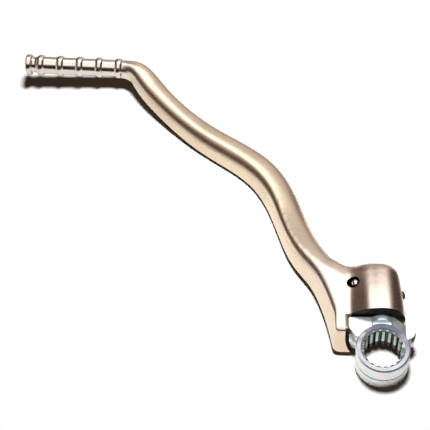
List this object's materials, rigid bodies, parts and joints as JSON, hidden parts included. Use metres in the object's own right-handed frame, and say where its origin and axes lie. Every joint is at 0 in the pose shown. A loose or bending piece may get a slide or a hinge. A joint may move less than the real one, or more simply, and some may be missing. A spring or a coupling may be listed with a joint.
{
  "type": "kick start lever",
  "caption": "Folding motorbike kick start lever: an S-shaped forged arm with a ribbed foot peg, hinged on a splined hub that clamps on the kick shaft.",
  "frame": {"origin": "centre of the splined bore, at the height where the fold's hinge axis crosses it", "axes": "+Z along the bore, away from the face it lies on; +Y along the hinge axis from the hub into the arm's head; the foot peg points to -X"},
  "size_m": [0.2444, 0.2294, 0.0281],
  "materials": {
    "zinc_steel": "zinc plated",
    "forged_aluminium": "satin",
    "polished_steel": "polished",
    "spring_steel": "bright drawn",
    "seal_rubber": "matt"
  },
  "bodies": {
    "hub": {"splined_hub": "zinc_steel"},
    "arm": {"lever_arm": "forged_aluminium", "retaining_pin": "polished_steel", "detent_plug": "polished_steel", "detent_spring": "spring_steel", "detent_ball": "spring_steel", "dust_seal": "seal_rubber"}
  },
  "joints": [
    {"name": "arm_fold", "type": "hinge", "parent": "hub", "child": "arm", "pos_m": [0, 0, 0], "axis": [0, 1, 0], "range_deg": [-90, 0]}
  ]
}
